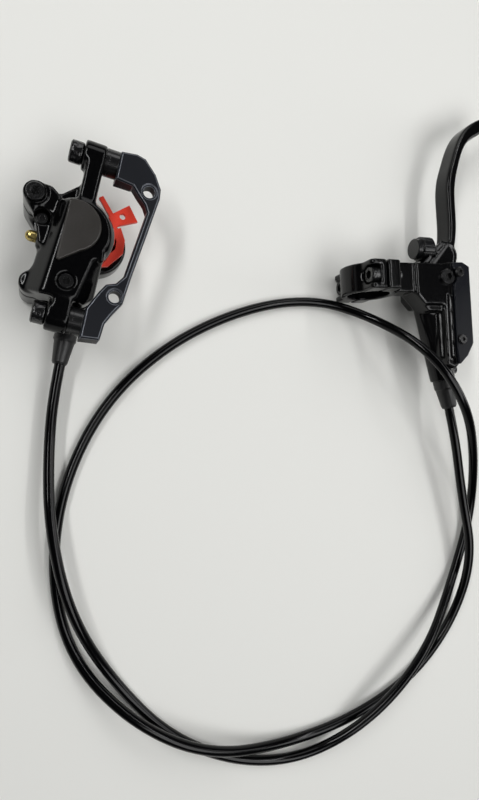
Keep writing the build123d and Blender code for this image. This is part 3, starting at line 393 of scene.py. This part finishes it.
def corners(mesh: bmesh.types.BMesh, least: float = 25.0) -> list[bmesh.types.BMEdge]:
    """Find a mesh's sharp edges.

    Args:
        mesh: The bmesh to look in.
        least: The smallest angle between the two faces, in degrees.

    Returns:
        The edges.
    """
    angle = math.radians(least)
    return [edge for edge in mesh.edges if edge.is_manifold and edge.calc_face_angle() > angle]


def ridges(mesh: bmesh.types.BMesh, least: float = 150.0) -> list[bmesh.types.BMEdge]:
    """Find the long ridges between a mesh's broad faces.

    Args:
        mesh: The bmesh to look in.
        least: The smallest area of either face, in square millimetres.

    Returns:
        The edges.
    """
    area = least * MM * MM
    return [
        edge for edge in corners(mesh) if all(face.calc_area() > area for face in edge.link_faces)
    ]


def ease(
    mesh: bmesh.types.BMesh, edges: list[bmesh.types.BMEdge], width: float, steps: int = 2,
) -> list[bmesh.types.BMFace]:
    """Round edges with a stepped bevel.

    Args:
        mesh: The bmesh that has the edges.
        edges: The edges to round.
        width: The bevel's width in millimetres.
        steps: How many faces each edge gets.

    Returns:
        The new faces.
    """
    made = bmesh.ops.bevel(
        mesh, geom=edges, offset=width * MM, offset_type="OFFSET", affect="EDGES", segments=steps,
        profile=0.5, material=-1, clamp_overlap=False,
    )
    return made["faces"]


def eased_piece(
    node: str, finish: Finish, body: str, width: float, rim: Finish | None = None,
) -> None:
    """Stand a copy with rounded edges in for a CAD node.

    Args:
        node: The CAD node's name.
        finish: The copy's finish.
        body: The body that it rides on.
        width: The width of the rounded edges in millimetres.
        rim: The finish of the edges, where theirs differs.
    """
    mesh = merged_copy(node)
    for face in ease(mesh, corners(mesh), width):
        face.material_index = 1 if rim else 0
    piece = settle(mesh, f"{node}_eased", finish, body)
    if rim:
        piece.data.materials.append(rim.material())
    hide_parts(node)


def cut_channel(mesh: bmesh.types.BMesh, rim: float, depth: float) -> None:
    """Sink a channel into a mesh's largest level face on top.

    Args:
        mesh: The bmesh to cut.
        rim: The width in millimetres that is left round the channel.
        depth: The channel's depth in millimetres.
    """
    level = (face for face in mesh.faces if face.normal.z > LEVEL)
    top = max(level, key=bmesh.types.BMFace.calc_area)
    bmesh.ops.inset_region(mesh, faces=[top], thickness=rim * MM, depth=-depth * MM)


def remeshed(mesh: bmesh.types.BMesh, name: str, voxel: float) -> bmesh.types.BMesh:
    """Make a mesh anew in even cells.

    Args:
        mesh: The bmesh, which is freed.
        name: The name of the object that carries it meanwhile.
        voxel: The cell in millimetres.

    Returns:
        The even bmesh.
    """
    rough = add_object(name, mesh_data(mesh, name))
    remesh = rough.modifiers.new("remesh", "REMESH")
    remesh.mode = "VOXEL"
    remesh.voxel_size = voxel * MM
    graph = bpy.context.evaluated_depsgraph_get()
    even = bmesh.new()
    even.from_mesh(rough.evaluated_get(graph).to_mesh())
    bpy.data.objects.remove(rough)
    return even


def cast_piece(
    node: str, finish: Finish, body: str, slot: str, voxel: float, passes: int, crown: float,
    channel: tuple[float, float] | None = None,
) -> None:
    """Stand a casting in for a CAD node, whose corners run into each other as metal in a mould.

    Args:
        node: The CAD node's name.
        finish: The casting's finish.
        body: The body that it rides on.
        slot: The record's material slot; not used.
        voxel: The remesh's cell in millimetres.
        passes: How often the surface is relaxed.
        crown: The width in millimetres of the rounding along its long ridges.
        channel: The rim and depth in millimetres of a channel forged into its top face.
    """
    mesh = merged_copy(node)
    if channel:
        cut_channel(mesh, *channel)
    ease(mesh, ridges(mesh), crown, CROWN_STEPS)
    mesh = remeshed(mesh, f"{node}_rough", voxel)
    for _ in range(passes):
        bmesh.ops.smooth_vert(
            mesh, verts=mesh.verts, factor=RELAX, use_axis_x=True, use_axis_y=True, use_axis_z=True
        )
    piece = settle(mesh, f"{node}_cast", finish, body)
    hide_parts(node)


# --- stage -------------------------------------------------------------------------------------


@dataclass
class Viewpoint:
    """The camera, held by its place in metres and its three directions."""

    place: Point = (-0.1275, -0.0980, 0.29863)
    right: Point = (0.944215, 0.0, 0.329330)
    up: Point = (-0.015352, 0.998913, 0.044016)
    back: Point = (-0.328973, -0.046617, 0.943189)
    lens: float = 27.0
    sensor: float = 36.0
    clip: tuple[float, float] = (0.01, 20.0)

    def build(self) -> None:
        """Make the camera and set it as the scene's."""
        camera = add_object("viewpoint", bpy.data.cameras.new("viewpoint"))
        turn = Matrix((self.right, self.up, self.back)).transposed()
        camera.matrix_world = Matrix.Translation(self.place) @ turn.to_4x4()
        camera.data.sensor_fit = "AUTO"
        camera.data.sensor_width = self.sensor
        camera.data.lens = self.lens
        camera.data.clip_start, camera.data.clip_end = self.clip
        bpy.context.scene.camera = camera


@dataclass(frozen=True)
class Lamp:
    """A soft rectangular lamp that looks at a point, with its sizes in metres."""

    name: str
    place: Point
    target: Point
    size: tuple[float, float]
    watts: float

    def build(self) -> None:
        """Make the lamp."""
        light = bpy.data.lights.new(self.name, "AREA")
        light.shape = "RECTANGLE"
        light.size, light.size_y = self.size
        light.energy = self.watts
        lamp = add_object(self.name, light)
        lamp.location = self.place
        lamp.rotation_mode = "QUATERNION"
        aim = Vector(self.target) - Vector(self.place)
        lamp.rotation_quaternion = aim.to_track_quat("-Z", "Y")


def seen_ray(tree: bpy.types.NodeTree) -> bpy.types.NodeSocket:
    """Find whether a ray comes from the camera, or from gloss or glass that it sees.

    Args:
        tree: The node tree that asks.

    Returns:
        The socket that is 1 for such a ray and 0 for light that falls on the object.
    """
    path = add_node(tree, "ShaderNodeLightPath")
    gloss = add_node(
        tree, "ShaderNodeMath",
        {0: path.outputs["Is Camera Ray"], 1: path.outputs["Is Glossy Ray"]}, operation="MAXIMUM",
    ).outputs[0]
    return add_node(
        tree, "ShaderNodeMath",
        {0: gloss, 1: path.outputs["Is Transmission Ray"]}, operation="MAXIMUM",
    ).outputs[0]


@dataclass
class Studio:
    """The pale table, the lamps and the sky round them.

    The table lies a fifth of a millimetre low, so that it never meets the hose's underside. Over
    the distances in backdrop it runs into its own plain colour, and between the heights in
    skyline, as parts of the whole, the pale walls give way to the dark ceiling.
    """

    table_colour: str = "E2E2DE"
    table_side: float = 6.0
    table_drop: float = 0.0002
    table_roughness: float = 0.6
    table_gloss: float = 0.25
    backdrop: tuple[float, float] = (0.34, 1.0)
    sky_colour: str = "E6E7E6"
    sky_strength: float = 0.1
    walls: float = 0.8
    ceiling: float = 0.03
    skyline: tuple[float, float] = (0.05, 0.25)
    lamps: list[Lamp] = field(default_factory=lambda: [
        Lamp("panel_over", (0.40, -0.50, 1.10), (0.0, -0.10, 0.0), (1.0, 0.6), 7.4),
        Lamp("panel_behind", (0.05, 0.95, 0.80), (0.0, -0.05, 0.0), (0.9, 0.5), 2.6),
        Lamp("panel_right", (1.00, 0.00, 0.55), (0.0, -0.05, 0.0), (0.3, 0.8), 1.9),
        Lamp("strip_left", (-0.55, 0.30, 0.80), (0.0, 0.30, 0.0), (0.7, 0.08), 4.0),
        Lamp("strip_right", (0.42, 0.30, 0.85), (0.0, 0.30, 0.0), (0.8, 0.05), 1.8),
    ])

    def build(self) -> None:
        """Make the table, the lamps and the world."""
        self._table()
        for lamp in self.lamps:
            lamp.build()
        self._sky()
        bpy.context.scene.view_settings.view_transform = "Standard"

    def _table(self) -> None:
        """Make the table top, which keeps the shadows."""
        mesh = bmesh.new()
        bmesh.ops.create_grid(mesh, x_segments=1, y_segments=1, size=self.table_side / 2)
        bmesh.ops.translate(mesh, verts=mesh.verts, vec=(0, 0, -self.table_drop))
        table = add_object("table_top", mesh_data(mesh, "table_top"))
        table.data.materials.append(self._laminate())

    def _laminate(self) -> bpy.types.Material:
        """Make the table's matt laminate.

        Returns:
            The material, which seen rays find as a plain backdrop beyond the lamps' reach.
        """
        material = bpy.data.materials.new("matt_laminate")
        tree = empty_tree(material)
        shader = add_node(
            tree, "ShaderNodeBsdfPrincipled",
            {"Base Color": linear(self.table_colour), "Roughness": self.table_roughness,
             "Specular IOR Level": self.table_gloss},
        )
        place = add_node(tree, "ShaderNodeTexCoord").outputs["Object"]
        reach = add_node(
            tree, "ShaderNodeVectorMath", {0: place}, operation="LENGTH"
        ).outputs["Value"]
        near, far = self.backdrop
        share = add_node(
            tree, "ShaderNodeMapRange", {"Value": reach, "From Min": near, "From Max": far}
        ).outputs["Result"]
        shown = add_node(
            tree, "ShaderNodeMath", {0: share, 1: seen_ray(tree)}, operation="MULTIPLY"
        )
        pale = add_node(
            tree, "ShaderNodeEmission", {"Color": linear(self.table_colour), "Strength": 1.0}
        )
        mixed = add_node(
            tree, "ShaderNodeMixShader",
            {0: shown.outputs[0], 1: shader.outputs["BSDF"], 2: pale.outputs[0]},
        )
        add_node(tree, "ShaderNodeOutputMaterial", {"Surface": mixed.outputs[0]})
        return material

    def _sky(self) -> None:
        """Make the world: a soft level for light, and walls and ceiling for seen rays."""
        world = bpy.data.worlds.new("sky")
        bpy.context.scene.world = world
        tree = empty_tree(world)
        way = add_node(tree, "ShaderNodeTexCoord").outputs["Generated"]
        height = add_node(tree, "ShaderNodeSeparateXYZ", {0: way}).outputs["Z"]
        # Gloss and glass show walls and ceiling, and the camera sees the walls' level everywhere
        low, high = self.skyline
        mirrored = add_node(
            tree, "ShaderNodeMapRange",
            {"Value": height, "From Min": low, "From Max": high,
             "To Min": self.walls, "To Max": self.ceiling},
        ).outputs["Result"]
        direct = add_node(tree, "ShaderNodeLightPath").outputs["Is Camera Ray"]
        seen = add_node(
            tree, "ShaderNodeMix", {"Factor": direct, "A": mirrored, "B": self.walls}
        ).outputs[0]
        strength = add_node(
            tree, "ShaderNodeMix", {"Factor": seen_ray(tree), "A": self.sky_strength, "B": seen}
        ).outputs[0]
        sky = add_node(
            tree, "ShaderNodeBackground", {"Color": linear(self.sky_colour), "Strength": strength}
        )
        add_node(tree, "ShaderNodeOutputWorld", {"Surface": sky.outputs[0]})


# --- sub-assemblies, with their sizes in millimetres -------------------------------------------


@dataclass
class BrakeHose:
    """The hose between the two fittings, in one loose ring and a half on the table.

    Its length alone is in metres, as the cord's record takes it.
    """

    radius: float = 2.5
    length: float = 1.3058
    leaves_at: Point = (-115.2, -68.5, 9.0)
    steps_along: int = 10
    steps_round: int = 5
    route: list[Point] = field(default_factory=lambda: [
        (-110.5, -45.8, 9), (-117.0, -77.3, 9), (-119.5, -109, 8), (-118.5, -144, 13),
        (-109.5, -182, 13), (-90.5, -216, 3), (-61.5, -249, 2.5), (-24.5, -268, 2.5),
        (13.5, -272, 2.5), (48.5, -252, 13), (82.5, -222, 13), (107.5, -187, 3),
        (121.5, -151, 2.5), (113.5, -116, 17), (93.5, -86, 36), (70.5, -57, 36),
        (48.5, -35, 9), (17.5, -27, 2.5), (-21.5, -35, 2.5), (-61.5, -55, 2.5),
        (-93.5, -85, 2.5), (-112.5, -124, 2.5), (-117.5, -166, 2.5), (-107.5, -207, 2.5),
        (-79.5, -236, 13), (-43.5, -256, 13), (-1.5, -263, 3), (41.5, -256, 2.5),
        (79.5, -239, 2.5), (107.5, -210, 3), (114.5, -172, 13), (106.5, -136, 14),
        (97.1, -97.2, 20), (88.2, -64.1, 20),
    ])

    def build(self) -> None:
        """Make the hose as one smooth spline that stands for the CAD tube."""
        curve = bpy.data.curves.new("hose_jacket", "CURVE")
        curve.dimensions = "3D"
        spline = curve.splines.new("NURBS")
        spline.points.add(len(self.route) - 1)
        for point, place in zip(spline.points, self.route):
            point.co = (*(value * MM for value in place), 1.0)
        spline.order_u = 3
        spline.use_endpoint_u = True
        spline.resolution_u = self.steps_along
        curve.bevel_depth = self.radius * MM
        curve.bevel_resolution = self.steps_round
        curve.use_fill_caps = True
        hose = add_object("hose_jacket", curve)
        dress(hose, HOSE_NYLON)
        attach(hose, "brake")
        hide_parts("brake_hose")


@dataclass
class Caliper:
    """The caliper: two cast halves, its cover, screws, pistons, seals and pads."""

    voxel: float = 0.5
    passes: int = 16
    crown: float = 1.7
    cover_edge: float = 0.25

    def build(self) -> None:
        """Make the castings and dress the rest."""
        for node in ("caliper_outer_half", "caliper_inner_half"):
            cast_piece(node, ENAMEL, "brake", "caliper_black", self.voxel, self.passes, self.crown)
        eased_piece("caliper_cover_plate", COVER_SATIN, "brake", self.cover_edge)
        self.dress()

    def dress(self) -> None:
        """Dress the nodes whose shape stays, and the fittings at both ends of the hose."""
        dress_nodes(KNURLED_STEEL, ("caliper_body_bolts",))
        dress_nodes(BLACK_STEEL, ("caliper_passage_plug", "pad_pin", "pivot_pin"))
        dress_nodes(BRASS, ("bleed_nipple", "caliper_hose_barb", "lever_hose_barb",
                            "caliper_hose_olive", "lever_hose_olive"))
        dress_nodes(SEAL_RUBBER,
                    ("caliper_crossover_seal", "outer_piston_seal", "inner_piston_seal"))
        dress_nodes(STEEL, ("pad_spring", "outer_pad_plate", "inner_pad_plate"))
        dress_nodes(PHENOLIC, ("outer_piston", "inner_piston"))
        dress_nodes(LINING, ("outer_pad_lining", "inner_pad_lining"))
        dress_nodes(SPACER_RED, ("pad_spacer",))
        dress_nodes(BLACK_STEEL, ("caliper_hose_nut", "lever_hose_nut"))
        dress_nodes(BOOT_RUBBER, ("caliper_hose_boot", "lever_hose_boot"))


@dataclass
class Adapter:
    """The adapter plate with its post bolts and washers."""

    plate_edge: float = 0.3
    bolt_edge: float = 0.9

    def build(self) -> None:
        """Make the eased plate and bolts, and dress the washers."""
        eased_piece(
            "mount_adapter", ANODISED, "brake", self.plate_edge, rim=MILLED
        )
        eased_piece("mount_bolts", KNURLED_STEEL, "brake", self.bolt_edge)
        dress_nodes(BLACK_STEEL, ("convex_washers", "concave_washers"))


@dataclass
class Lever:
    """The lever: clamp, housing, reservoir, blade and what is in the cylinder."""

    voxel: float = 0.45
    passes: int = 8
    crown: float = 0.8
    channel: tuple[float, float] = (2.0, 0.7)
    lid_edge: float = 0.3

    def build(self) -> None:
        """Make the castings and dress the rest."""
        rounding = (self.voxel, self.passes, self.crown)
        for node in ("lever_housing", "clamp_cap"):
            cast_piece(node, LEVER_BLACK, "brake", "lever_black", *rounding)
        cast_piece("lever_blade", LEVER_BLACK, "lever", "lever_black", *rounding, self.channel)
        eased_piece(
            "reservoir_cover", RESERVOIR_COVER, "brake", self.lid_edge
        )
        self.dress()

    def dress(self) -> None:
        """Dress the nodes whose shape stays."""
        dress_nodes(ADJUSTER, ("reach_adjuster",))
        dress_nodes(KNURLED_STEEL, ("clamp_bolts",))
        dress_nodes(BLACK_STEEL, ("cover_screws", "lever_bleed_screw", "pivot_clip"))
        dress_nodes(STEEL, ("push_rod", "retaining_clip", "return_spring"))
        dress_nodes(BRASS, ("pivot_bushes",))
        dress_nodes(PISTON_ALLOY, ("master_piston",))
        dress_nodes(SEAL_RUBBER, ("primary_seal", "secondary_seal", "reservoir_diaphragm"))


def main() -> None:
    """Build the stage and the sub-assemblies in order."""
    logging.basicConfig(level=logging.INFO, format="%(message)s")
    for part in (Viewpoint(), Studio(), BrakeHose(), Caliper(), Adapter(), Lever()):
        LOG.info("building %s", type(part).__name__)
        part.build()


if __name__ == "__main__":
    main()
